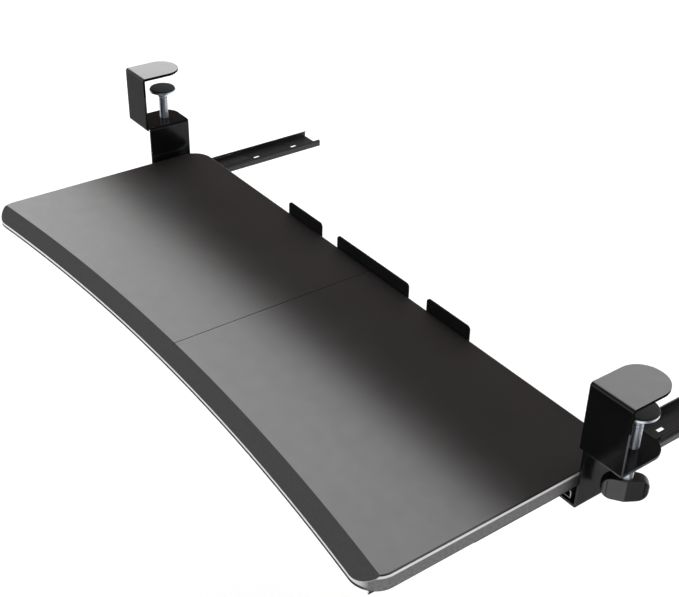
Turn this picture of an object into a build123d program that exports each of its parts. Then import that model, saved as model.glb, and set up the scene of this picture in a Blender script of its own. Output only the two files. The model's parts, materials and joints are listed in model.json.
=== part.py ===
from build123d import *
import os
from math import hypot

# Keyboard tray that hangs from two screw clamps and runs on ball slides. X runs along the edge that
# the clamps grip, +Y goes in behind that edge and +Z is up. The origin is midway between the clamps,
# on that edge, at the height of the tongues' pads. The tray is drawn out to its stop.

# What the clamps are closed on
gripped_thickness = 25.0

# Tray: two laminated boards that meet at a seam in the middle
tray_width = 800.0
tray_depth = 285.0
tray_thickness = 17.5
tray_drop = 115.0
tray_rear_y = 75.0
front_sagitta = 26.7
front_corner_radius = 26.0
rear_corner_radius = 28.0
wrist_bevel_width = 17.5
wrist_bevel_drop = 11.5
board_top_cut = 2.0
board_bottom_cut = 1.0
seam_gap = 0.4

# Clamp brackets: each one folded from a single steel sheet
sheet = 3.0
bend_inside_radius = 0.8
bracket_width = 49.5
tray_side_clearance = 9.5
jaw_opening = 69.0
tongue_reach = 61.0
tongue_end_radius = 24.0
lower_plate_reach = 63.0
lower_plate_corner_radius = 20.0
drop_plate_setback = 3.0
flange_margin = 2.5
flange_corner_radius = 4.0
tongue_pad_thickness = 1.5
tongue_pad_inset = 1.5

# Ball slides: three nested steel members that lie flat between the flanges and the tray
slide_length = 250.0
slide_width = 40.0
slide_height = 10.0
slide_front_y = 6.5
slide_side_gap = 8.0
inner_member_setback = 10.7
outer_steel = 1.1
middle_steel = 0.9
inner_steel = 1.1
section_bend_cut = 0.55
ball_radius = 2.0
ball_sides = 8
ball_gap = 0.3
ball_height = 6.1
ball_count = 3
ball_end_margin = 8.0
middle_travel_share = 1 / 2
outer_cage_travel_share = 1 / 4
inner_cage_travel_share = 3 / 4
cage_length = 110.0
cage_steel = 0.8
cage_height = 3.6
outer_lip = 2.2
outer_top_gap = 0.4
middle_web_height = 2.9
middle_wall_height = 9.2
middle_lip = 1.6
middle_lip_rise = 0.9
inner_groove_depth = 0.6
inner_groove_half_height = 1.6
slot_width = 4.6
slot_length = 9.0
rear_slot_setbacks = (35.0, 100.0)

# Faces round the heads and shanks of all small screws
screw_head_sides = 8
screw_shank_sides = 6

# Screws and nuts that hold the outer members to the flanges
flange_screw_radius = 2.0
flange_screw_head_radius = 3.6
flange_screw_head_height = 1.5
flange_screw_end = 0.8
flange_screw_places = (17.0, 48.0)
flange_nut_across_flats = 7.0
flange_nut_height = 3.2

# Screws that hold the inner members, the stops and the plates to the boards
wood_screw_radius = 1.9
wood_screw_grip = 12.0
wood_screw_head_radius = 3.6
wood_screw_head_height = 2.0
inner_front_screw_margin = 21.0
inner_rear_screw_margin = 24.0
hole_clearance = 0.2
fit_clearance = 0.05

# Rear stops: folded steel tabs along the tray's rear edge
stop_steel = 2.0
stop_rise = 15.3
stop_foot_reach = 30.0
stop_corner_radius = 5.0
centre_stop_width = 139.0
side_stop_width = 72.5
side_stop_x = 139.0
stop_screw_setback = 14.0
stop_screw_margin = 13.0

# Plates that join the two boards from below
plate_steel = 2.0
plate_width = 120.0
plate_depth = 40.0
plate_corner_cut = 4.0
plate_screw_margin = 9.0
plate_setbacks = (105.0, 215.0)

# Clamp screws with their nuts
screw_radius = 6.0
screw_hole_clearance = 0.4
thread_clearance = 0.06
clamp_screw_y = 39.0
screw_chamfer = 1.0
clamp_nut_across_flats = 18.0
clamp_nut_height = 10.0

# Swivel feet that the clamp screws press upwards
foot_radius = 18.0
foot_plate_thickness = 2.5
foot_pad_thickness = 2.0
foot_pad_inset = 1.2
socket_radius = 7.0
socket_depth = 7.5
socket_lip = 3.0
swivel_cover = 1.3
swivel_sides = 12
swivel_clearance = 0.15
collar_radius = 4.8
neck_radius = 3.5
neck_run = 1.5

# Wing knobs
knob_length = 45.0
knob_height = 25.0
knob_middle_thickness = 18.0
knob_end_thickness = 9.0
knob_end_round = 11.0
knob_tip_round = 4.0
knob_angle = 48.0
knob_side_clearance = 0.5
knob_top_drop = 105.5
knob_floor = 2.5

# How far every cutting tool runs past the faces that it cuts
overrun = 1.0

# Places that follow from the sizes above
half_width = tray_width / 2
tray_top_z = -tray_drop
tray_bottom_z = tray_top_z - tray_thickness
flange_top_z = tray_bottom_z - slide_height
lip_middle_y = tray_rear_y - tray_depth
lip_end_y = lip_middle_y - front_sagitta
front_radius = (half_width**2 + front_sagitta**2) / (2 * front_sagitta)
front_centre = (0, lip_middle_y - front_radius)

bracket_inner_x = half_width + tray_side_clearance
bracket_outer_x = bracket_inner_x + bracket_width
bracket_middle_x = (bracket_inner_x + bracket_outer_x) / 2
bend_middle_radius = bend_inside_radius + sheet / 2
bend_run = bend_inside_radius + sheet
lower_plate_top_z = -jaw_opening
lower_plate_bottom_z = lower_plate_top_z - sheet

slide_x = bracket_inner_x - slide_side_gap - slide_width / 2
flange_inner_x = slide_x - slide_width / 2 - flange_margin
inner_front_y = lip_end_y + inner_member_setback
slide_travel = slide_front_y - inner_front_y
inner_first_screw_y = inner_front_y + inner_front_screw_margin
inner_last_screw_y = inner_front_y + slide_length - inner_rear_screw_margin
inner_screw_ys = (inner_first_screw_y, (inner_first_screw_y + inner_last_screw_y) / 2, inner_last_screw_y)
slide_middle_y = slide_front_y + slide_length / 2
outer_ball_x = slide_width / 2 - outer_steel - ball_gap - ball_radius
middle_wall_x = outer_ball_x - ball_radius - ball_gap - middle_steel / 2
inner_ball_x = middle_wall_x - middle_steel / 2 - ball_gap - ball_radius

knob_top_z = -knob_top_drop
knob_bottom_z = knob_top_z - knob_height
clamp_screw_x = bracket_inner_x + sheet + knob_side_clearance + knob_length / 2
clamp_axis = (clamp_screw_x, clamp_screw_y)
foot_top_z = -gripped_thickness - foot_pad_thickness
socket_top_z = foot_top_z - swivel_cover
socket_bottom_z = foot_top_z - foot_plate_thickness - socket_depth
socket_lip_z = socket_bottom_z + socket_lip


def bent_sheet(points, thickness, radius):
    """Section of a bent sheet whose middle line runs through the points."""
    return trace(FilletPolyline(*points, radius=radius), thickness)


def along_x(section, start_x, length):
    """Solid of a section drawn in Y and Z that runs from start_x towards +X."""
    return extrude(Plane.YZ.offset(start_x) * section, length)


def along_y(section, front, length):
    """Solid of a section drawn in X and Z about the point front, which runs towards +Y."""
    return extrude(Plane(origin=front, x_dir=(1, 0, 0), z_dir=(0, -1, 0)) * section, -length)


def box_between(low, high):
    """Box given by two opposite corners."""
    size = [b - a for a, b in zip(low, high)]
    return Pos(*low) * Box(*size, align=(Align.MIN, Align.MIN, Align.MIN))


def faceted_sheet(points, thickness, cut):
    """Section of thin rolled steel along the points, with each bend made in two short turns."""
    line = [Vector(*points[0])]
    for before, corner, after in zip(points, points[1:], points[2:]):
        for other in (before, after):
            line.append(Vector(*corner) + (Vector(*other) - Vector(*corner)).normalized() * cut)
    line.append(Vector(*points[-1]))
    normals = [Plane.XY.z_dir.cross(end - start).normalized() for start, end in zip(line, line[1:])]
    reaches = []
    for before, after in zip(normals[:1] + normals, normals + normals[-1:]):
        reaches.append((before + after) * (thickness / 2 / (1 + before.dot(after))))
    one_side = [point + reach for point, reach in zip(line, reaches)]
    other_side = [point - reach for point, reach in zip(line, reaches)]
    return make_face(Polyline(*one_side, *reversed(other_side), close=True))


def upright_cylinder(place, radius, bottom_z, top_z):
    """Cylinder about the vertical through the point place."""
    base = Pos(*place, bottom_z) * Circle(radius)
    return extrude(base, top_z - bottom_z)


def upright_prism(place, radius, sides, bottom_z, top_z, around=False):
    """Regular prism about the vertical through the point place, within the radius or around it."""
    base = Pos(*place, bottom_z) * RegularPolygon(radius, sides, major_radius=not around)
    return extrude(base, top_z - bottom_z)


def screw_hole(place, radius, bottom_z, top_z):
    """Cutting tool for a small screw's hole through the given heights."""
    return upright_prism(place, radius, screw_shank_sides, bottom_z - overrun, top_z + overrun)


def pan_screw(place, seat_z, shank_radius, shank_length, head_radius, head_height, up):
    """Screw whose head bears on the height seat_z, with its shank up or down."""
    way = 1 if up else -1
    head = upright_prism(place, head_radius, screw_head_sides, seat_z, seat_z - way * head_height)
    return head + upright_prism(place, shank_radius, screw_shank_sides, seat_z, seat_z + way * shank_length)


def hexagon(across_flats):
    return RegularPolygon(across_flats / 2, 6, major_radius=False)


def both_sides(shape):
    """Left and right copy of a shape modelled on the right."""
    return {"left": mirror(shape, about=Plane.YZ), "right": shape}


# Tray


def tray_slab():
    """Whole tray board with its bowed front, rounded corners and sloping wrist edge."""
    front = ThreePointArc((half_width, lip_end_y), (0, lip_middle_y), (-half_width, lip_end_y))
    rear = Polyline(
        (-half_width, lip_end_y),
        (-half_width, tray_rear_y),
        (half_width, tray_rear_y),
        (half_width, lip_end_y),
    )
    outline = Plane.XY.offset(tray_bottom_z) * make_face([*front.edges(), *rear.edges()])
    slab = extrude(outline, tray_thickness)
    corners = slab.edges().filter_by(Axis.Z).group_by(Axis.Y)
    slab = fillet(corners[-1], rear_corner_radius)
    corners = slab.edges().filter_by(Axis.Z).group_by(Axis.Y)
    slab = fillet(corners[0], front_corner_radius)
    slab = chamfer(slab.edges().group_by(Axis.Z)[0], board_bottom_cut)
    slab = chamfer(slab.edges().group_by(Axis.Z)[-1], board_top_cut)

    slope = wrist_bevel_drop / wrist_bevel_width
    low = (lip_middle_y - overrun, tray_top_z - wrist_bevel_drop - overrun * slope)
    high = (lip_middle_y + wrist_bevel_width + overrun, tray_top_z + overrun * slope)
    wedge = Plane.YZ * make_face(Polyline(low, high, (low[0], high[1]), close=True))
    return slab - revolve(wedge, Axis((*front_centre, 0), (0, 0, 1)), 360)


def boards():
    """The two boards, with pilot holes for every screw that enters them from below."""
    slab = tray_slab()
    for place in inner_member_screws() + stop_screws() + plate_screws():
        slab -= screw_hole(
            place, wood_screw_radius + fit_clearance, tray_bottom_z, tray_bottom_z + wood_screw_grip
        )
    seam = box_between(
        (-seam_gap / 2, lip_end_y - overrun, tray_bottom_z - overrun),
        (seam_gap / 2, tray_rear_y + overrun, tray_top_z + overrun),
    )
    halves = (slab - seam).solids().sort_by(Axis.X)
    return {"left_board": halves[0], "right_board": halves[-1]}


def stop_screw_places(centre_x, width):
    """Screw places in the foot of one rear stop."""
    reach = width / 2 - stop_screw_margin
    return [(centre_x + side * reach, tray_rear_y - stop_screw_setback) for side in (-1, 1)]


def stop_sizes():
    """Middle and width of every rear stop, by name."""
    return {
        "left_rear_stop": (-side_stop_x, side_stop_width),
        "centre_rear_stop": (0, centre_stop_width),
        "right_rear_stop": (side_stop_x, side_stop_width),
    }


def stop_screws():
    return [place for size in stop_sizes().values() for place in stop_screw_places(*size)]


def rear_stop(centre_x, width):
    """Folded tab that stands behind the tray and turns in under it."""
    face_y = tray_rear_y + stop_steel / 2
    foot_z = tray_bottom_z - stop_steel / 2
    line = [(face_y, tray_top_z + stop_rise), (face_y, foot_z), (tray_rear_y - stop_foot_reach, foot_z)]
    section = bent_sheet(line, stop_steel, bend_inside_radius + stop_steel / 2)
    tab = along_x(section, centre_x - width / 2, width)
    tab = fillet(tab.edges().filter_by(Axis.Y).group_by(Axis.Z)[-1], stop_corner_radius)
    tab = fillet(tab.edges().filter_by(Axis.Z).group_by(Axis.Y)[0], stop_corner_radius)
    for place in stop_screw_places(centre_x, width):
        tab -= screw_hole(
            place, wood_screw_radius + hole_clearance, tray_bottom_z - stop_steel, tray_bottom_z
        )
    return tab


def plate_middle_y(setback):
    return tray_rear_y - setback


def plate_screw_places(setback):
    """Screw places near the four corners of one joining plate."""
    reach_x = plate_width / 2 - plate_screw_margin
    reach_y = plate_depth / 2 - plate_screw_margin
    return [(i * reach_x, plate_middle_y(setback) + j * reach_y) for i in (-1, 1) for j in (-1, 1)]


def plate_screws():
    return [place for setback in plate_setbacks for place in plate_screw_places(setback)]


def joining_plate(setback):
    """Flat plate across the seam."""
    outline = Rectangle(plate_width, plate_depth)
    outline = chamfer(outline.vertices(), plate_corner_cut)
    plate = extrude(Pos(0, plate_middle_y(setback), tray_bottom_z) * outline, -plate_steel)
    for place in plate_screw_places(setback):
        plate -= screw_hole(
            place, wood_screw_radius + hole_clearance, tray_bottom_z - plate_steel, tray_bottom_z
        )
    return plate


def wood_screws(places, seat_steel):
    """Screws driven up into the boards through steel of the given thickness."""
    return Compound(
        children=[
            pan_screw(
                place,
                tray_bottom_z - seat_steel,
                wood_screw_radius,
                seat_steel + wood_screw_grip,
                wood_screw_head_radius,
                wood_screw_head_height,
                True,
            )
            for place in places
        ]
    )


# Clamp brackets


def clamp_bracket():
    """Right bracket: tongue, front plate, lower plate, drop plate and slide flange in one sheet."""
    tongue_z = tongue_pad_thickness + sheet / 2
    plate_z = lower_plate_top_z - sheet / 2
    line = [
        (tongue_reach, tongue_z),
        (-sheet / 2, tongue_z),
        (-sheet / 2, plate_z),
        (lower_plate_reach, plate_z),
    ]
    jaw = along_x(bent_sheet(line, sheet, bend_middle_radius), bracket_inner_x, bracket_width)
    jaw = fillet(jaw.edges().filter_by(Axis.Z).group_by(Axis.Z)[-1], tongue_end_radius)
    plate_ends = jaw.edges().filter_by(Axis.Z).group_by(Axis.Z)[0]
    jaw = fillet(plate_ends.sort_by(Axis.X)[-1], lower_plate_corner_radius)
    jaw -= box_between(
        (bracket_inner_x - overrun, bend_inside_radius, plate_z - sheet),
        (bracket_inner_x + bend_run, lower_plate_reach + overrun, plate_z + sheet),
    )

    drop_x = bracket_inner_x + sheet / 2
    flange_z = flange_top_z - sheet / 2
    line = [
        (bracket_inner_x + bend_run + overrun, plate_z),
        (drop_x, plate_z),
        (drop_x, flange_z),
        (flange_inner_x, flange_z),
    ]
    drop = along_y(
        bent_sheet(line, sheet, bend_middle_radius),
        (0, drop_plate_setback, 0),
        lower_plate_reach - drop_plate_setback,
    )
    drop = fillet(
        drop.edges().filter_by(Axis.Z).group_by(Axis.X)[0],
        flange_corner_radius,
    )

    bracket = jaw + drop
    bracket -= upright_cylinder(
        clamp_axis,
        screw_radius + screw_hole_clearance,
        lower_plate_bottom_z - overrun,
        lower_plate_top_z + overrun,
    )
    for y in flange_screw_places:
        bracket -= screw_hole(
            (slide_x, y), flange_screw_radius + hole_clearance, flange_top_z - sheet, flange_top_z
        )
    return bracket


def tongue_pad():
    """Thin protective pad under the right tongue."""
    width = bracket_width - 2 * tongue_pad_inset
    length = tongue_reach - tongue_pad_inset - bend_inside_radius
    place = (bracket_middle_x, bend_inside_radius + length / 2, 0)
    pad = extrude(Pos(*place) * Rectangle(width, length), tongue_pad_thickness)
    rear_corners = pad.edges().filter_by(Axis.Z).group_by(Axis.Y)[-1]
    return fillet(rear_corners, tongue_end_radius - tongue_pad_inset)


# Ball slides, on the right


def mirrored_line(half):
    """Whole section line from its right half, whose first point lies on the middle."""
    return [(-x, z) for x, z in reversed(half[1:])] + half[1:]


def slide_outer():
    """Channel that is screwed to the flange, with a curled track on each side."""
    wall_x = slide_width / 2 - outer_steel / 2
    web_z = outer_steel / 2
    half = [
        (0, web_z),
        (wall_x, web_z),
        (wall_x, ball_height + ball_radius),
        (wall_x - outer_lip, slide_height - outer_top_gap - outer_steel / 2),
    ]
    section = faceted_sheet(mirrored_line(half), outer_steel, section_bend_cut)
    member = along_y(section, (slide_x, slide_front_y, flange_top_z), slide_length)
    for y in flange_screw_places:
        member -= screw_hole(
            (slide_x, y), flange_screw_radius + hole_clearance, flange_top_z, flange_top_z + outer_steel
        )
    for setback in rear_slot_setbacks:
        slot_y = slide_front_y + slide_length - setback
        slot = Pos(slide_x, slot_y, flange_top_z - overrun) * Rectangle(slot_width, slot_length)
        member -= extrude(slot, overrun + outer_steel + overrun)
    return member


def slide_middle():
    """Channel that runs half as far as the tray, between the two rows of balls."""
    web_z = middle_web_height + middle_steel / 2
    top_z = middle_wall_height - middle_steel / 2
    half = [
        (0, web_z),
        (middle_wall_x, web_z),
        (middle_wall_x, top_z - middle_lip_rise),
        (middle_wall_x - middle_lip, top_z),
    ]
    section = faceted_sheet(mirrored_line(half), middle_steel, section_bend_cut)
    front = (slide_x, slide_front_y - slide_travel * middle_travel_share, flange_top_z)
    return along_y(section, front, slide_length)


def slide_inner():
    """Channel under the tray, whose legs are grooved for the inner balls."""
    web_z = slide_height - inner_steel / 2
    slant = inner_groove_half_height / hypot(inner_groove_depth, inner_groove_half_height)
    groove_x = inner_ball_x - (ball_radius + ball_gap + inner_steel / 2) / slant
    shoulder_x = groove_x + inner_groove_depth
    half = [
        (0, web_z),
        (shoulder_x, web_z),
        (shoulder_x, ball_height + inner_groove_half_height),
        (groove_x, ball_height),
        (shoulder_x, ball_height - inner_groove_half_height),
    ]
    section = faceted_sheet(mirrored_line(half), inner_steel, section_bend_cut)
    member = along_y(section, (slide_x, inner_front_y, flange_top_z), slide_length)
    for y in inner_screw_ys:
        member -= screw_hole(
            (slide_x, y), wood_screw_radius + hole_clearance, tray_bottom_z - inner_steel, tray_bottom_z
        )
    return member


def inner_member_screws():
    """Places of the screws through both inner members."""
    return [(side * slide_x, y) for side in (-1, 1) for y in inner_screw_ys]


def slide_ball():
    """Steel ball drawn as the common part of two crossed prisms."""
    bar = extrude(RegularPolygon(ball_radius, ball_sides), ball_radius, both=True)
    return Rot(90, 0, 0) * bar & Rot(0, 90, 0) * bar


def ball_cage(ball_x, travel_share):
    """Two strips of balls, which run a share of the tray's travel."""
    middle_y = slide_middle_y - slide_travel * travel_share
    reach = cage_length / 2 - ball_end_margin
    strips = []
    for side in (-1, 1):
        place = (slide_x + side * ball_x, middle_y, flange_top_z + ball_height)
        strip = Pos(*place) * Box(cage_steel, cage_length, cage_height)
        for i in range(ball_count):
            ball_y = -reach + 2 * reach * i / (ball_count - 1)
            strip += Pos(*place) * Pos(0, ball_y, 0) * slide_ball()
        strips.append(strip)
    return Compound(children=strips)


def flange_screws():
    seat_z = flange_top_z + outer_steel
    length = outer_steel + sheet + flange_nut_height + flange_screw_end
    return Compound(
        children=[
            pan_screw(
                (slide_x, y),
                seat_z,
                flange_screw_radius,
                length,
                flange_screw_head_radius,
                flange_screw_head_height,
                False,
            )
            for y in flange_screw_places
        ]
    )


def flange_nuts():
    outline = hexagon(flange_nut_across_flats)
    outline -= RegularPolygon(flange_screw_radius + fit_clearance, screw_shank_sides)
    return Compound(
        children=[
            extrude(Pos(slide_x, y, flange_top_z - sheet) * outline, -flange_nut_height)
            for y in flange_screw_places
        ]
    )


# Clamp screws, on the right


def clamp_nut():
    """Nut welded under the lower plate."""
    outline = hexagon(clamp_nut_across_flats) - Circle(screw_radius + thread_clearance)
    return extrude(Pos(*clamp_axis, lower_plate_bottom_z) * outline, -clamp_nut_height)


def turned(points):
    """Solid turned about the clamp screw's axis from an outline of radii and heights."""
    profile = Plane.XZ * make_face(Polyline(*points, close=True))
    return Pos(*clamp_axis, 0) * revolve(profile, Axis.Z)


def swivel_foot():
    """Pressure plate with a socket closed round the collar of the clamp screw."""
    plate_bottom_z = foot_top_z - foot_plate_thickness
    foot = turned(
        [
            (0, foot_top_z),
            (foot_radius, foot_top_z),
            (foot_radius, plate_bottom_z),
            (socket_radius, plate_bottom_z),
            (socket_radius, socket_bottom_z),
            (0, socket_bottom_z),
        ]
    )
    foot -= upright_prism(
        clamp_axis, collar_radius + swivel_clearance, swivel_sides, socket_lip_z, socket_top_z, around=True
    )
    return foot - upright_prism(
        clamp_axis,
        neck_radius + swivel_clearance,
        swivel_sides,
        socket_bottom_z - overrun,
        socket_lip_z + overrun,
        around=True,
    )


def foot_pad():
    return upright_cylinder(clamp_axis, foot_radius - foot_pad_inset, foot_top_z, -gripped_thickness)


def clamp_screw():
    """Threaded rod with a collar on a neck at its upper end."""
    shoulder_z = socket_bottom_z - neck_run
    rod_end_z = knob_bottom_z + knob_floor + fit_clearance
    collar_bottom_z = socket_lip_z + swivel_clearance
    collar_top_z = socket_top_z - swivel_clearance
    rod = turned(
        [
            (0, shoulder_z),
            (screw_radius - screw_chamfer, shoulder_z),
            (screw_radius, shoulder_z - screw_chamfer),
            (screw_radius, rod_end_z),
            (0, rod_end_z),
        ]
    )
    rod += upright_prism(clamp_axis, neck_radius, swivel_sides, shoulder_z, collar_bottom_z)
    return rod + upright_prism(clamp_axis, collar_radius, swivel_sides, collar_bottom_z, collar_top_z)


def wing_knob():
    """Oval knob whose faces meet in a crease, thick at the rod and thin at the tips."""
    length = knob_length / 2
    middle = knob_middle_thickness / 2
    end = knob_end_thickness / 2
    near = [(-length, -end), (0, -middle), (length, -end)]
    far = [(length, end), (0, middle), (-length, end)]
    plan = make_face(Polyline(*near, *far, close=True))
    tips = plan.vertices().filter_by(lambda vertex: abs(vertex.X) > length / 2)
    plan = fillet(tips, knob_tip_round)
    middle_z = (knob_top_z + knob_bottom_z) / 2
    body = extrude(Pos(0, 0, knob_bottom_z) * plan, knob_height)
    side_view = Plane.XZ * Pos(0, middle_z) * RectangleRounded(knob_length, knob_height, knob_end_round)
    body &= extrude(side_view, knob_middle_thickness, both=True)
    body = Pos(*clamp_axis, 0) * Rot(0, 0, knob_angle) * body
    return body - upright_cylinder(
        clamp_axis, screw_radius + fit_clearance, knob_bottom_z + knob_floor, knob_top_z + overrun
    )


def all_parts():
    """Every node of the model, by name."""
    parts = boards()
    for name, (centre_x, width) in stop_sizes().items():
        parts[name] = rear_stop(centre_x, width)
    parts["rear_joining_plate"] = joining_plate(plate_setbacks[0])
    parts["front_joining_plate"] = joining_plate(plate_setbacks[1])
    parts["stop_screws"] = wood_screws(stop_screws(), stop_steel)
    parts["joining_plate_screws"] = wood_screws(plate_screws(), plate_steel)
    parts["tray_slide_screws"] = wood_screws(inner_member_screws(), inner_steel)
    pairs = {
        "clamp_bracket": clamp_bracket(),
        "tongue_pad": tongue_pad(),
        "slide_outer_member": slide_outer(),
        "slide_middle_member": slide_middle(),
        "slide_inner_member": slide_inner(),
        "outer_ball_cage": ball_cage(outer_ball_x, outer_cage_travel_share),
        "inner_ball_cage": ball_cage(inner_ball_x, inner_cage_travel_share),
        "flange_screws": flange_screws(),
        "flange_nuts": flange_nuts(),
        "clamp_nut": clamp_nut(),
        "swivel_foot": swivel_foot(),
        "foot_pad": foot_pad(),
        "clamp_screw": clamp_screw(),
        "wing_knob": wing_knob(),
    }
    for name, shape in pairs.items():
        for side, copy in both_sides(shape).items():
            parts[f"{side}_{name}"] = copy
    return parts


os.makedirs("parts", exist_ok=True)
for node, shape in all_parts().items():
    export_step(shape, f"parts/{node}.step")
print("tray travel", slide_travel)
print("clamp screw axis", clamp_axis)
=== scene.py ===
import json
import math

import bmesh
import bpy
from mathutils import Matrix, Vector


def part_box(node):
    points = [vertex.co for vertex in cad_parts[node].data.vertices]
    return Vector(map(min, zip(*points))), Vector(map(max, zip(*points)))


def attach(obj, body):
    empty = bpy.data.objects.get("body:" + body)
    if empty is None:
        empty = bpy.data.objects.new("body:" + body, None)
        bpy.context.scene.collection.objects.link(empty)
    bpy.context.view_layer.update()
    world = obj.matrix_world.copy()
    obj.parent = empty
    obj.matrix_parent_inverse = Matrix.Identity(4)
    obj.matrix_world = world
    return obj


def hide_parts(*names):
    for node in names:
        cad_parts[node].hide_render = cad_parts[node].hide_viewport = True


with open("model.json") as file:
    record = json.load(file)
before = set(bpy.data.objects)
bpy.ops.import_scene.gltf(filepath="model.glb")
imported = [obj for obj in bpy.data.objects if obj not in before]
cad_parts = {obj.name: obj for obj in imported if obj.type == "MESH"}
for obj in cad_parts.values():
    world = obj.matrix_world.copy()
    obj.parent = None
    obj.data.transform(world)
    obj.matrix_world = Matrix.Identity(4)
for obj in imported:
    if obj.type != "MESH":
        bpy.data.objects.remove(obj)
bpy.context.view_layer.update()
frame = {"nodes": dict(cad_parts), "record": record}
nodes = frame["nodes"]
SIDES = ("left", "right")

# Camera: angles in radians, the focal length in pixels of the frame
AZIMUTH, ELEVATION, ROLL = 0.927202, 0.573047, -0.023503
EYE = Vector((0.930470, -0.669231, 0.611914))
FOCAL_PIXELS, IMAGE_WIDTH = 1165.949, 679
SENSOR_WIDTH = 36
CLIP_START, CLIP_END = 0.05, 100

# Tray boards, in metres
HALF_WIDTH = 0.4
TOP_Z, BOTTOM_Z = -0.115, -0.1325
REAR_Y, LIP_MIDDLE_Y, SAGITTA = 0.075, -0.210, 0.0267
FRONT_ROUND, REAR_ROUND = 0.026, 0.028
FRONT_RADIUS = (HALF_WIDTH**2 + SAGITTA**2) / (2 * SAGITTA)
FRONT_CENTRE = Vector((0, LIP_MIDDLE_Y - FRONT_RADIUS))
FRONT_STEPS, ROUND_STEPS, SLOPE_STEPS = 60, 24, 160
SLOPE_WIDTH, SLOPE_DROP = 0.0175, 0.0115
SLOPE_OVERRUN, SIDE_OVERRUN = 0.01, 0.05
ARRIS, ARRIS_STEPS = 0.003, 6
SEAM_SHARE, BOTTOM_SHARE = 0.17, 0.12
SLOPE_ARRIS = 0.0018
# Edging heights: the front edge's painted highlight above this line and painted shade below it,
# its softness, and the painted shade strip at the foot
LIP_LINE_Z, LIP_LINE_BLUR = -0.1293, 0.0002
FOOT_LOW, FOOT_HIGH = 0.0007, 0.0011

# Clamp screws, in metres; a thread's profile is in shares of its pitch
ROD_RADIUS, PITCH, THREAD_DEPTH, RUN_OUT = 0.006, 0.00175, 0.00035, 0.0012
CREST_START, CREST_END, FLANK_END = 0.30, 0.45, 0.75
END_DEPTH = 0.0002
TURN_STEPS = 36
SHOULDER_Z = -0.0385
NECK_RADIUS, COLLAR_RADIUS = 0.0035, 0.0048
COLLAR_Z, TIP_Z = -0.0334, -0.0285

# Shading: angles in degrees above which an edge stays sharp
SHARP, BOARD_SHARP, ROD_SHARP, KNOB_SHARP = 50, 25, 32, 19.5

# Room
FLOOR_Z, FLOOR_HALF = -0.74, 9
HORIZON, ZENITH = (0.3, 1.0), (0.55, 0.22)
# name, centre, size, colour
CARDS = (
    ("rear_card", (0, 0.351, -0.0125), (2.4, 0.7, 0.024), (0.05, 0.03, 0.02)),
    ("low_card", (-0.05, -0.75, -0.36), (0.95, 1.0, 0.01), (0.02, 0.02, 0.02)),
    ("right_card", (1.3, 0.1, -0.7), (1.2, 0.5, 0.01), (0.09, 0.09, 0.09)),
    ("side_card", (1.0, 0.47, -0.7), (1.0, 0.34, 0.01), (0.38, 0.38, 0.38)),
    ("left_card", (-2.0, -0.8, -0.7), (1.6, 1.2, 0.01), (0.34, 0.34, 0.34)),
)
# name, place, aim, size, watts, shows in reflections, lights matt surfaces
LAMPS = (
    ("overhead", (0.2, -0.6, 2.6), (0, 0, -0.1), (3.0, 3.0), 26, False, True),
    ("behind_left", (-2.42, 1.42, 2.1), (-0.37, -0.38, 0.55), (4.2, 4.2), 190, True, False),
    ("upper_left", (-1.345, 1.131, 3.1), (0.705, -0.669, 1.55), (3.4, 2.8), 39, True, False),
    ("left_fill", (-2.05, 1.75, 1.45), (0, -0.05, -0.1), (3.8, 2.6), 60, False, True),
    ("behind_right", (1.65, 1.55, 2.0), (0.3, -0.1, -0.1), (1.3, 1.3), 20, True, True),
    ("front_left", (-2.2, -2.0, 0.7), (0, -0.1, -0.1), (1.2, 0.7), 21, False, True),
)


# Scene helpers


def placed(name, data):
    """A new object in the scene's collection."""
    made = bpy.data.objects.new(name, data)
    bpy.context.scene.collection.objects.link(made)
    return made


def mesh_from(edit, name):
    """The mesh of a finished edit, which is freed."""
    mesh = bpy.data.meshes.new(name)
    edit.to_mesh(mesh)
    edit.free()
    return mesh


def grey(level):
    return (level, level, level)


def make_camera():
    forward = Vector((
        -math.sin(AZIMUTH) * math.cos(ELEVATION),
        math.cos(AZIMUTH) * math.cos(ELEVATION),
        -math.sin(ELEVATION),
    ))
    flat_right = Vector((math.cos(AZIMUTH), math.sin(AZIMUTH), 0))
    flat_down = forward.cross(flat_right)
    right = math.cos(ROLL) * flat_right + math.sin(ROLL) * flat_down
    down = math.cos(ROLL) * flat_down - math.sin(ROLL) * flat_right
    data = bpy.data.cameras.new("camera")
    data.sensor_fit = "HORIZONTAL"
    data.sensor_width = SENSOR_WIDTH
    data.lens = FOCAL_PIXELS / IMAGE_WIDTH * SENSOR_WIDTH
    data.clip_start = CLIP_START
    data.clip_end = CLIP_END
    camera = placed("camera", data)
    turn = Matrix((right, -down, -forward)).transposed().to_4x4()
    camera.matrix_world = Matrix.Translation(EYE) @ turn
    bpy.context.scene.camera = camera


# Materials


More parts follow.
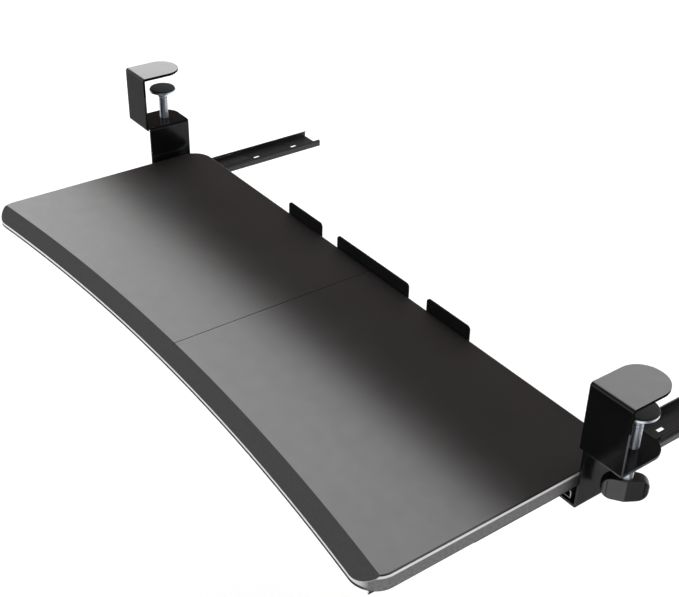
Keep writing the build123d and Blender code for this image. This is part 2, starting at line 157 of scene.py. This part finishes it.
class Shader:
    """A small builder for node materials."""

    def __init__(self, name):
        self.material = bpy.data.materials.new(name)
        self.material.use_nodes = True
        self.tree = self.material.node_tree
        self.surface = self.tree.nodes["Principled BSDF"]
        self.place = self.node("ShaderNodeTexCoord").outputs["Object"]

    def node(self, kind, **values):
        made = self.tree.nodes.new(kind)
        for name, value in values.items():
            setattr(made, name, value)
        return made

    def link(self, source, target):
        self.tree.links.new(source, target)

    def set(self, **values):
        """Constant values on the shader's own sockets."""
        for name, value in values.items():
            self.surface.inputs[name.replace("_", " ")].default_value = value

    def noise(self, scale, detail=3.0, roughness=0.55, stretch=(1, 1, 1)):
        mapping = self.node("ShaderNodeMapping")
        mapping.inputs["Scale"].default_value = stretch
        self.link(self.place, mapping.inputs["Vector"])
        made = self.node("ShaderNodeTexNoise")
        made.inputs["Scale"].default_value = scale
        made.inputs["Detail"].default_value = detail
        made.inputs["Roughness"].default_value = roughness
        self.link(mapping.outputs["Vector"], made.inputs["Vector"])
        return made.outputs["Fac"]

    def span(self, value, low, high, start=0.0, end=1.0):
        """The value mapped from low..high to start..end, and clamped."""
        made = self.node("ShaderNodeMapRange")
        numbers = {"From Min": low, "From Max": high, "To Min": start, "To Max": end}
        for name, number in numbers.items():
            made.inputs[name].default_value = number
        self.link(value, made.inputs["Value"])
        return made.outputs["Result"]

    def split(self, vector, axis):
        made = self.node("ShaderNodeSeparateXYZ")
        self.link(vector, made.inputs["Vector"])
        return made.outputs[axis]

    def normal(self, kind, axis):
        return self.split(self.node("ShaderNodeNewGeometry").outputs[kind], axis)

    def maths(self, operation, *values):
        made = self.node("ShaderNodeMath", operation=operation)
        for socket, value in zip(made.inputs, values):
            if isinstance(value, (int, float)):
                socket.default_value = value
            else:
                self.link(value, socket)
        return made.outputs["Value"]

    def blend(self, share, a, b):
        made = self.node("ShaderNodeMix", data_type="RGBA")
        for name, value in (("A", a), ("B", b)):
            socket = [s for s in made.inputs if s.name == name and s.type == "RGBA"][0]
            if isinstance(value, tuple):
                socket.default_value = (*value, 1)
            else:
                self.link(value, socket)
        self.link(share, made.inputs["Factor"])
        return [s for s in made.outputs if s.type == "RGBA"][0]

    def mottled(self, pattern, a, b, low=0.3, high=0.7):
        """A colour that goes from a to b with a pattern."""
        return self.blend(self.span(pattern, low, high), a, b)

    def colour(self, source):
        self.link(source, self.surface.inputs["Base Color"])

    def roughness(self, pattern, start, end):
        result = self.span(pattern, 0.3, 0.7, start, end)
        self.link(result, self.surface.inputs["Roughness"])

    def bump(self, height, distance, strength):
        made = self.node("ShaderNodeBump")
        made.inputs["Strength"].default_value = strength
        made.inputs["Distance"].default_value = distance
        self.link(height, made.inputs["Height"])
        self.link(made.outputs["Normal"], self.surface.inputs["Normal"])


def laminate():
    """Satin charcoal laminate with a very fine emboss."""
    shader = Shader("tray_laminate")
    shader.set(IOR=1.5)
    mottle = shader.noise(9.0, 2.0)
    shader.colour(shader.mottled(mottle, (0.0100, 0.0080, 0.0077), (0.0133, 0.0109, 0.0105)))
    shader.roughness(shader.noise(60.0, 4.0), 0.33, 0.38)
    shader.bump(shader.noise(800.0, 2.0), 0.00001, 0.2)
    return shader.material


def wrist_band():
    """The laminate where it is laid over the wrist slope, with a matt leather-like stipple."""
    shader = Shader("wrist_band")
    shader.set(IOR=1.45, Specular_IOR_Level=0.12)
    stipple = shader.noise(900.0)
    shader.colour(shader.mottled(stipple, grey(0.048), grey(0.062), 0.35, 0.65))
    shader.roughness(stipple, 0.62, 0.5)
    shader.bump(stipple, 0.00012, 0.6)
    return shader.material


def edge_band():
    """Grey grained edging with a strip of painted shade at its foot; on faces turned to the front,
    a pale band above a line is a painted highlight and black below it is painted shade.
    """
    shader = Shader("edge_band")
    shader.set(IOR=1.5)
    # black stands for painted shade and pale for a painted highlight
    black, pale = grey(0.006), grey(0.78)
    grain = shader.noise(520.0, 4.0, 0.6, (1, 0.55, 1))
    height = shader.split(shader.place, "Z")
    # front edge: painted highlight above the line, painted shade below it
    above_line = shader.span(height, LIP_LINE_Z - LIP_LINE_BLUR, LIP_LINE_Z + LIP_LINE_BLUR)
    lip = shader.blend(above_line, black, pale)
    sides = shader.mottled(grain, (0.115, 0.115, 0.116), (0.195, 0.195, 0.196), 0.32, 0.68)
    # faces turned to the front show this painted highlight and shade instead of the grey grain
    faces_front = shader.span(shader.normal("Normal", "Y"), -0.75, -0.97)
    grain_and_painted_front = shader.blend(faces_front, sides, lip)
    # a thin strip of painted shade along the bottom
    above_foot = shader.span(height, BOTTOM_Z + FOOT_LOW, BOTTOM_Z + FOOT_HIGH)
    shader.colour(shader.blend(above_foot, black, grain_and_painted_front))
    shader.roughness(grain, 0.5, 0.38)
    shader.bump(grain, 0.00012, 0.5)
    return shader.material


def arris_painted_highlight():
    """Smooth rounded arris of the edging, coloured bright as a painted highlight."""
    shader = Shader("arris_painted_highlight")
    shader.set(IOR=1.5)
    # the light grey is a painted highlight
    shader.colour(shader.mottled(shader.noise(40.0), grey(0.76), grey(0.82)))
    shader.roughness(shader.noise(300.0), 0.16, 0.24)
    return shader.material


def painted_steel(name, low, high, roughness, gloss):
    """Black coat on folded steel, with a faint orange peel and thinner paint in patches."""
    shader = Shader(name)
    shader.set(IOR=1.5, Specular_IOR_Level=gloss)
    shader.colour(shader.mottled(shader.noise(24.0), low, high))
    shader.roughness(shader.noise(90.0, 4.0), roughness - 0.03, roughness + 0.05)
    shader.bump(shader.noise(420.0, 2.0), 0.00003, 0.4)
    return shader.material


def slide_steel():
    """Black coat on rolled steel whose sheared ends are bare."""
    shader = Shader("slide_steel")
    facing = shader.maths("ABSOLUTE", shader.normal("True Normal", "Y"))
    sheared = shader.maths("GREATER_THAN", facing, 0.95)
    drawn = shader.noise(700.0, 2.0, 0.5, (1, 0.03, 1))
    coat = shader.mottled(drawn, (0.012, 0.012, 0.013), (0.022, 0.022, 0.023))
    shader.colour(shader.blend(sheared, coat, (0.74, 0.76, 0.78)))
    shader.roughness(drawn, 0.26, 0.36)
    shader.bump(drawn, 0.00003, 0.4)
    return shader.material


def plated_steel(name, low, high):
    """Bright plated steel, slightly cloudy."""
    shader = Shader(name)
    shader.set(Metallic=1.0)
    shader.colour(shader.mottled(shader.noise(130.0), low, high))
    shader.roughness(shader.noise(240.0), 0.27, 0.32)
    shader.bump(shader.noise(600.0, 2.0), 0.00001, 0.1)
    return shader.material


def rubber():
    """Matt black rubber with a coarse grain."""
    shader = Shader("pad_rubber")
    grain = shader.noise(1200.0)
    shader.colour(shader.mottled(grain, grey(0.013), grey(0.024)))
    shader.roughness(grain, 0.85, 0.7)
    shader.bump(grain, 0.0001, 0.5)
    return shader.material


def knob_plastic():
    """Moulded plastic with a fine spark-eroded texture."""
    shader = Shader("knob_plastic")
    shader.set(IOR=1.72)
    spark = shader.noise(1500.0, 2.0)
    shader.colour(shader.mottled(spark, grey(0.004), grey(0.007), 0.35, 0.65))
    shader.roughness(spark, 0.36, 0.28)
    shader.bump(spark, 0.00005, 0.5)
    return shader.material


# Mesh helpers


def add_piece(name, mesh, body, replaced):
    piece = placed(name, mesh)
    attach(piece, body)
    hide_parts(replaced)


def with_modifiers(mesh, *settings):
    """The mesh with a chain of modifiers applied."""
    holder = placed("holder", mesh)
    for kind, values in settings:
        modifier = holder.modifiers.new(kind.lower(), kind)
        for name, value in values.items():
            setattr(modifier, name, value)
    graph = bpy.context.evaluated_depsgraph_get()
    result = bpy.data.meshes.new_from_object(holder.evaluated_get(graph))
    bpy.data.objects.remove(holder)
    return result


def smooth_by_angle(mesh, degrees):
    """Smooth shading with sharp edges above an angle, and large faces kept flat."""
    edit = bmesh.new()
    edit.from_mesh(mesh)
    for edge in edit.edges:
        shared = len(edge.link_faces) == 2
        edge.smooth = shared and edge.calc_face_angle(math.pi) < math.radians(degrees)
    for face in edit.faces:
        face.smooth = True
    edit.to_mesh(mesh)
    edit.free()
    weighted = {"mode": "FACE_AREA", "weight": 50, "keep_sharp": True}
    return with_modifiers(mesh, ("WEIGHTED_NORMAL", weighted))


def softened(node, width, sharp):
    """Copy of a CAD node's mesh with its arrises rounded."""
    edit = bmesh.new()
    edit.from_mesh(nodes[node].data)
    bmesh.ops.remove_doubles(edit, verts=edit.verts, dist=0.00001)
    flat = math.radians(1)
    bmesh.ops.dissolve_limit(edit, angle_limit=flat, verts=edit.verts, edges=edit.edges)
    bevel = {
        "width": width,
        "segments": 3,
        "limit_method": "ANGLE",
        "angle_limit": math.radians(30),
        "use_clamp_overlap": True,
        "miter_outer": "MITER_ARC",
    }
    mesh = with_modifiers(mesh_from(edit, f"soft_{node}"), ("BEVEL", bevel))
    mesh.materials.clear()
    return smooth_by_angle(mesh, sharp)


# Tray boards


def front_distance(x, y):
    """Distance behind the bowed front line."""
    return (Vector((x, y)) - FRONT_CENTRE).length - FRONT_RADIUS


def arc(centre, radius, angles):
    return [
        (centre[0] + radius * math.cos(angle), centre[1] + radius * math.sin(angle))
        for angle in angles
    ]


def board_outline():
    """Plan outline of the right board, anticlockwise, with the seam first."""
    corner_x = HALF_WIDTH - FRONT_ROUND
    corner_y = FRONT_CENTRE.y + math.sqrt((FRONT_RADIUS + FRONT_ROUND) ** 2 - corner_x**2)
    start = math.atan2(FRONT_CENTRE.y - corner_y, -corner_x)
    touch = Vector((corner_x, corner_y)) + FRONT_ROUND * Vector((math.cos(start), math.sin(start)))
    middle = math.pi / 2
    last = math.atan2(touch.y - FRONT_CENTRE.y, touch.x)
    bow = [middle + (last - middle) * i / FRONT_STEPS for i in range(1, FRONT_STEPS)]
    front = [start * (1 - i / ROUND_STEPS) for i in range(ROUND_STEPS + 1)]
    rear = [math.pi / 2 * i / ROUND_STEPS for i in range(ROUND_STEPS + 1)]
    rear_centre = (HALF_WIDTH - REAR_ROUND, REAR_Y - REAR_ROUND)
    return [
        (0.0, REAR_Y),
        (0.0, LIP_MIDDLE_Y),
        *arc(FRONT_CENTRE, FRONT_RADIUS, bow),
        *arc((corner_x, corner_y), FRONT_ROUND, front),
        *arc(rear_centre, REAR_ROUND, rear),
    ]


def arris_share(edge):
    """How much of the full rounding an edge of the plain board gets."""
    a, b = (vertex.co for vertex in edge.verts)
    if abs(a.z - b.z) > 0.001:
        return 0.0
    if a.z < (TOP_Z + BOTTOM_Z) / 2:
        return BOTTOM_SHARE
    at_seam = max(abs(a.x), abs(b.x)) < 0.001
    return SEAM_SHARE if at_seam else 1.0


def slope_knife():
    """Wedge over the wrist slope that follows the bowed front."""
    slope = SLOPE_DROP / SLOPE_WIDTH
    over = TOP_Z + SLOPE_OVERRUN * slope
    section = (
        (-SLOPE_OVERRUN, TOP_Z - SLOPE_DROP - SLOPE_OVERRUN * slope),
        (SLOPE_WIDTH + SLOPE_OVERRUN, over),
        (-SLOPE_OVERRUN, over),
    )
    reach = math.asin((HALF_WIDTH + SIDE_OVERRUN) / FRONT_RADIUS)
    edit = bmesh.new()
    rows = []
    for i in range(SLOPE_STEPS + 1):
        angle = math.pi / 2 - reach + 2 * reach * i / SLOPE_STEPS
        row = []
        for inside, z in section:
            radius = FRONT_RADIUS + inside
            x, y = radius * math.cos(angle), FRONT_CENTRE.y + radius * math.sin(angle)
            row.append(edit.verts.new((x, y, z)))
        rows.append(row)
    for a, b in zip(rows, rows[1:]):
        for i in range(3):
            j = (i + 1) % 3
            edit.faces.new((a[i], a[j], b[j], b[i]))
    edit.faces.new(rows[0][::-1])
    edit.faces.new(rows[-1])
    bmesh.ops.recalc_face_normals(edit, faces=edit.faces)
    return mesh_from(edit, "wrist_knife")


def board_mesh(side):
    """Rounded slab with the wrist slope cut off its front."""
    sign = -1 if side == "left" else 1
    outline = [(sign * x, y) for x, y in board_outline()]
    if sign < 0:
        outline.reverse()
    edit = bmesh.new()
    bottom = [edit.verts.new((x, y, BOTTOM_Z)) for x, y in outline]
    top = [edit.verts.new((x, y, TOP_Z)) for x, y in outline]
    edit.faces.new(top)
    edit.faces.new(bottom[::-1])
    count = len(outline)
    for i in range(count):
        j = (i + 1) % count
        edit.faces.new((bottom[i], bottom[j], top[j], top[i]))
    weight = edit.edges.layers.float.new("bevel_weight_edge")
    for edge in edit.edges:
        edge[weight] = arris_share(edge)
    rounding = {
        "width": ARRIS,
        "segments": ARRIS_STEPS,
        "limit_method": "WEIGHT",
        "use_clamp_overlap": False,
    }
    mesh = with_modifiers(mesh_from(edit, f"board_{side}"), ("BEVEL", rounding))

    knife = placed("wrist_knife", slope_knife())
    cut = {"object": knife, "operation": "DIFFERENCE", "solver": "EXACT"}
    small = {
        "width": SLOPE_ARRIS,
        "segments": 3,
        "limit_method": "ANGLE",
        "angle_limit": math.radians(40),
        "use_clamp_overlap": True,
    }
    mesh = with_modifiers(mesh, ("BOOLEAN", cut), ("BEVEL", small))
    bpy.data.objects.remove(knife)
    return mesh


def board_finish(face):
    """Which of the board's materials a face has: 0 top, 1 band, 2 edging, 3 arris."""
    normal, centre = face.normal, face.center
    if normal.z > 0.98 or normal.z < -0.5 or abs(centre.x) < 0.001:
        return 0
    if normal.z > 0.7:
        on_slope = front_distance(centre.x, centre.y) < SLOPE_WIDTH + 0.0005
        return 1 if on_slope else 0
    if abs(normal.z) < 0.05 or centre.z < BOTTOM_Z + 0.001:
        return 2
    return 3


def dress_board(side, materials):
    mesh = smooth_by_angle(board_mesh(side), BOARD_SHARP)
    for material in materials:
        mesh.materials.append(material)
    for face in mesh.polygons:
        face.material_index = board_finish(face)
    add_piece(f"{side}_tray_board", mesh, "tray", f"{side}_board")


# Clamp screws with a real thread


def spun(edit, centre, points):
    """Adds a surface turned about the upright line through the centre."""
    angles = [2 * math.pi * i / TURN_STEPS for i in range(TURN_STEPS)]
    rings = []
    for radius, z in points:
        if radius == 0:
            rings.append([edit.verts.new((*centre, z))] * TURN_STEPS)
        else:
            rings.append([edit.verts.new((x, y, z)) for x, y in arc(centre, radius, angles)])
    for a, b in zip(rings, rings[1:]):
        for i in range(TURN_STEPS):
            j = (i + 1) % TURN_STEPS
            corners = []
            for vertex in (a[i], a[j], b[j], b[i]):
                if vertex not in corners:
                    corners.append(vertex)
            edit.faces.new(corners)


def threaded_rod(side):
    """Rod with a rolled thread that runs out at both ends, a neck and a collar."""
    low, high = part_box(f"{side}_clamp_screw")
    centre = ((low.x + high.x) / 2, (low.y + high.y) / 2)
    bottom = low.z
    root = ROD_RADIUS - THREAD_DEPTH
    end = root - END_DEPTH
    profile = (
        (0.0, root),
        (CREST_START, ROD_RADIUS),
        (CREST_END, ROD_RADIUS),
        (FLANK_END, root),
    )
    edit = bmesh.new()
    rings = []
    for turn in range(int((SHOULDER_Z - bottom) / PITCH) + 1):
        for share, radius in profile:
            ring = []
            for i in range(TURN_STEPS + 1):
                angle = 2 * math.pi * i / TURN_STEPS
                z = bottom + (turn + share + i / TURN_STEPS - 1) * PITCH
                from_bottom = max(0.0, (z - bottom) / RUN_OUT)
                from_shoulder = max(0.0, (SHOULDER_Z - z) / RUN_OUT)
                r = min(radius, end + min(1.0, from_bottom, from_shoulder) * RUN_OUT)
                z = min(max(z, bottom), SHOULDER_Z)
                x, y = centre[0] + r * math.cos(angle), centre[1] + r * math.sin(angle)
                ring.append(edit.verts.new((x, y, z)))
            rings.append(ring)
    for a, b in zip(rings, rings[1:]):
        for i in range(TURN_STEPS):
            edit.faces.new((a[i], a[i + 1], b[i + 1], b[i]))
    bmesh.ops.remove_doubles(edit, verts=edit.verts, dist=0.000002)
    spun(edit, centre, [(0.0, bottom), (end, bottom)])
    spun(edit, centre, [
        (end, SHOULDER_Z),
        (NECK_RADIUS, SHOULDER_Z),
        (NECK_RADIUS, COLLAR_Z),
        (COLLAR_RADIUS, COLLAR_Z),
        (COLLAR_RADIUS, TIP_Z),
        (0.0, TIP_Z),
    ])
    return smooth_by_angle(mesh_from(edit, f"{side}_threaded_rod"), ROD_SHARP)


# Room


def make_world():
    """White around and below, dimmer above."""
    world = bpy.data.worlds.new("studio")
    bpy.context.scene.world = world
    world.use_nodes = True
    tree = world.node_tree
    background = tree.nodes["Background"]
    place = tree.nodes.new("ShaderNodeTexCoord")
    parts = tree.nodes.new("ShaderNodeSeparateXYZ")
    tree.links.new(place.outputs["Generated"], parts.inputs["Vector"])
    ramp = tree.nodes.new("ShaderNodeValToRGB")
    for element, (position, level) in zip(ramp.color_ramp.elements, (HORIZON, ZENITH)):
        element.position = position
        element.color = (*grey(level), 1)
    tree.links.new(parts.outputs["Z"], ramp.inputs["Fac"])
    tree.links.new(ramp.outputs["Color"], background.inputs["Color"])
    background.inputs["Strength"].default_value = 1


def make_floor():
    shader = Shader("floor")
    shader.set(
        Roughness=0.9,
        Specular_IOR_Level=0,
        Emission_Color=(1, 1, 1, 1),
        Emission_Strength=0.25,
    )
    shader.colour(shader.mottled(shader.noise(3.0), grey(0.86), grey(0.88)))
    edit = bmesh.new()
    bmesh.ops.create_grid(edit, x_segments=4, y_segments=4, size=FLOOR_HALF)
    mesh = mesh_from(edit, "floor")
    mesh.materials.append(shader.material)
    floor = placed("floor", mesh)
    floor.location = (0, 0, FLOOR_Z)


def make_card(name, place, size, colour):
    """Studio card that only reflections show."""
    edit = bmesh.new()
    bmesh.ops.create_cube(edit, size=1)
    bmesh.ops.scale(edit, vec=size, verts=edit.verts)
    bmesh.ops.translate(edit, vec=place, verts=edit.verts)
    mesh = mesh_from(edit, name)
    shader = Shader(name)
    shader.set(Base_Color=(*colour, 1), Roughness=0.9, Specular_IOR_Level=0)
    mesh.materials.append(shader.material)
    made = placed(name, mesh)
    made.visible_camera = False
    made.visible_diffuse = False
    made.visible_shadow = False
    made.visible_transmission = False


def make_lamp(name, place, aim, size, power, glossy, diffuse):
    data = bpy.data.lights.new(name, "AREA")
    data.shape = "RECTANGLE"
    data.size, data.size_y = size
    data.energy = power
    lamp = placed(name, data)
    lamp.location = place
    direction = Vector(aim) - Vector(place)
    lamp.rotation_euler = direction.to_track_quat("-Z", "Y").to_euler()
    lamp.visible_glossy = glossy
    lamp.visible_diffuse = diffuse


# Scene

make_camera()
make_world()
make_floor()
for settings in CARDS:
    make_card(*settings)
for settings in LAMPS:
    make_lamp(*settings)

board_materials = (laminate(), wrist_band(), edge_band(), arris_painted_highlight())
for side in SIDES:
    dress_board(side, board_materials)

bracket_paint = painted_steel(
    "bracket_paint", (0.0028, 0.0028, 0.0032), (0.0044, 0.0044, 0.0048), 0.17, 0.32
)
stop_paint = painted_steel(
    "stop_paint", (0.0055, 0.0058, 0.0065), (0.0080, 0.0084, 0.0092), 0.45, 0.05
)
slide = slide_steel()
zinc = plated_steel("zinc_plate", (0.70, 0.76, 0.85), (0.77, 0.82, 0.90))
cage = plated_steel("cage_steel", grey(0.50), grey(0.62))
pad = rubber()
plastic = knob_plastic()

# end of a node's name: material, slot, rounding of its arrises in metres (0 keeps the CAD mesh)
FINISHES = {
    "clamp_bracket": (bracket_paint, "bracket_steel", 0.00035),
    "tongue_pad": (pad, "pad", 0.0003),
    "foot_pad": (pad, "pad", 0.0003),
    "swivel_foot": (zinc, "zinc", 0.0003),
    "clamp_nut": (zinc, "zinc", 0.0005),
    "wing_knob": (plastic, "knob_plastic", 0.0009),
    "slide_outer_member": (slide, "slide_steel", 0),
    "slide_middle_member": (slide, "slide_steel", 0),
    "slide_inner_member": (slide, "slide_steel", 0),
    "outer_ball_cage": (cage, "cage_steel", 0),
    "inner_ball_cage": (cage, "cage_steel", 0),
    "flange_screws": (zinc, "zinc", 0.0002),
    "flange_nuts": (zinc, "zinc", 0.0002),
    "rear_stop": (stop_paint, "black_steel", 0.0003),
    "joining_plate": (stop_paint, "black_steel", 0.0002),
    "stop_screws": (zinc, "zinc", 0.0002),
    "plate_screws": (zinc, "zinc", 0.0002),
    "slide_screws": (zinc, "zinc", 0.0002),
}
bodies = frame["record"]["behaviour"]["bodies"]
body_of = {node: body for body, members in bodies.items() for node in members}
for node in sorted(nodes):
    if node.endswith(("_board", "clamp_screw")):
        continue
    key = [k for k in FINISHES if node.endswith(k)][0]
    material, slot, width = FINISHES[key]
    if width:
        mesh = softened(node, width, KNOB_SHARP if key == "wing_knob" else SHARP)
        mesh.materials.append(material)
        add_piece(f"{node}_dressed", mesh, body_of[node], node)
    else:
        mesh = nodes[node].data
        mesh.materials.clear()
        mesh.materials.append(material)

for side in SIDES:
    mesh = threaded_rod(side)
    mesh.materials.append(zinc)
    add_piece(f"{side}_threaded_rod", mesh, f"{side}_screw", f"{side}_clamp_screw")

bpy.context.scene.view_settings.view_transform = "Standard"
